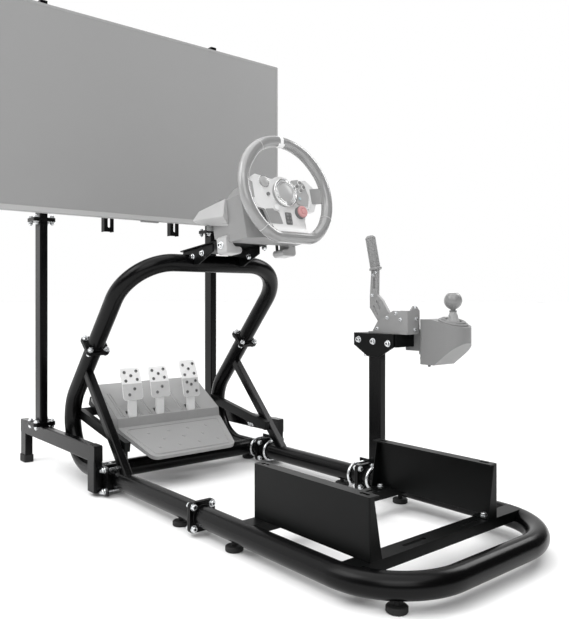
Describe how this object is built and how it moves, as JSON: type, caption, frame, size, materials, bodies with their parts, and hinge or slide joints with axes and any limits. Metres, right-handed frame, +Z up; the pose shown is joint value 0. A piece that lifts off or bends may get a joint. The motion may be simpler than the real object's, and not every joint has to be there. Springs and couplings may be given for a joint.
{
  "type": "sim racing cockpit",
  "caption": "Black bent-tube driving-game cockpit with seat brackets, screen stand with screen, steering wheel, sloped pedal set, hand brake and gear shifter.",
  "frame": {"origin": "on the floor, at the middle of the overall box seen from above, on the middle plane of the floor frame", "axes": "+X to the driver's right, +Y forward to the screen, +Z up"},
  "size_m": [1.11, 1.628, 1.494],
  "materials": {
    "black_coated_steel": "satin black powder coat",
    "foot_rubber": "matte black",
    "zinc_steel": "bright zinc plate",
    "screen_glass": "even grey, switched off",
    "screen_plastic": "grey moulded",
    "grey_leather": "grey grained",
    "light_metal": "brushed light metal",
    "grey_plastic": "grey moulded, fine grain"
  },
  "bodies": {
    "cockpit_frame": {"base_feet": "foot_rubber", "braces": "black_coated_steel", "cross_tube": "black_coated_steel", "gear_boot": "grey_leather", "gear_housing": "grey_plastic", "hand_brake_base": "light_metal", "left_seat_bracket": "black_coated_steel", "lower_posts": "black_coated_steel", "lower_uprights": "black_coated_steel", "pedal_brackets": "black_coated_steel", "pedal_deck": "black_coated_steel", "pedal_tray": "grey_plastic", "rear_base_loop": "black_coated_steel", "right_seat_bracket": "black_coated_steel", "screen_arms": "black_coated_steel", "screen_crossbars": "black_coated_steel", "screen_housing": "screen_plastic", "screen_panel": "screen_glass", "seat_crossbars": "black_coated_steel", "side_gusset": "black_coated_steel", "side_post": "black_coated_steel", "side_tray": "black_coated_steel", "side_tubes": "black_coated_steel", "stand_feet": "foot_rubber", "stand_rails": "black_coated_steel", "u_bolts": "zinc_steel", "upper_hoop": "black_coated_steel", "upper_posts": "black_coated_steel", "wheel_base": "grey_plastic", "wheel_clamps": "grey_plastic", "wheel_deck": "black_coated_steel", "wheel_ears": "black_coated_steel"},
    "steering_wheel": {"steering_rim": "grey_leather", "steering_spokes": "light_metal", "steering_boss": "light_metal", "hub_disc": "grey_plastic", "wheel_buttons": "grey_plastic", "shift_paddles": "light_metal"},
    "clutch_pedal": {"clutch_arm": "light_metal", "clutch_pad": "light_metal"},
    "brake_pedal": {"brake_arm": "light_metal", "brake_pad": "light_metal"},
    "accelerator_pedal": {"accelerator_arm": "light_metal", "accelerator_pad": "light_metal"},
    "hand_brake": {"hand_brake_lever": "light_metal", "hand_brake_grip": "grey_leather"},
    "gear_gate": {"gear_ring": "zinc_steel"},
    "gear_stick": {"gear_lever": "zinc_steel", "gear_knob": "grey_plastic"}
  },
  "joints": [
    {"name": "wheel_turn", "type": "hinge", "parent": "cockpit_frame", "child": "steering_wheel", "pos_m": [0, -0.17822, 0.8201], "axis": [0, -0.9703, 0.2419], "range_deg": [-450, 450]},
    {"name": "clutch_press", "type": "hinge", "parent": "cockpit_frame", "child": "clutch_pedal", "pos_m": [-0.16398, 0.35094, 0.17233], "axis": [-1, 0, 0], "range_deg": [0, 20], "stiffness_Nm_per_rad": 18, "springref_deg": -11.46},
    {"name": "brake_press", "type": "hinge", "parent": "cockpit_frame", "child": "brake_pedal", "pos_m": [-0.07002, 0.35094, 0.17233], "axis": [-1, 0, 0], "range_deg": [0, 20], "stiffness_Nm_per_rad": 30, "springref_deg": -11.46},
    {"name": "accelerator_press", "type": "hinge", "parent": "cockpit_frame", "child": "accelerator_pedal", "pos_m": [0.04194, 0.35094, 0.17233], "axis": [-1, 0, 0], "range_deg": [0, 20], "stiffness_Nm_per_rad": 12, "springref_deg": -11.46},
    {"name": "hand_brake_pull", "type": "hinge", "parent": "cockpit_frame", "child": "hand_brake", "pos_m": [0.352, -0.214, 0.489], "axis": [1, 0, 0], "range_deg": [0, 30], "stiffness_Nm_per_rad": 25, "springref_deg": -14.32},
    {"name": "gear_shift", "type": "hinge", "parent": "cockpit_frame", "child": "gear_gate", "pos_m": [0.416, -0.389, 0.463], "axis": [1, 0, 0], "range_deg": [-10, 10], "deforming": ["gear_boot"]},
    {"name": "gear_gate_side", "type": "hinge", "parent": "gear_gate", "child": "gear_stick", "pos_m": [0.416, -0.389, 0.463], "axis": [0, 1, 0], "range_deg": [-6, 6], "stiffness_Nm_per_rad": 2}
  ]
}
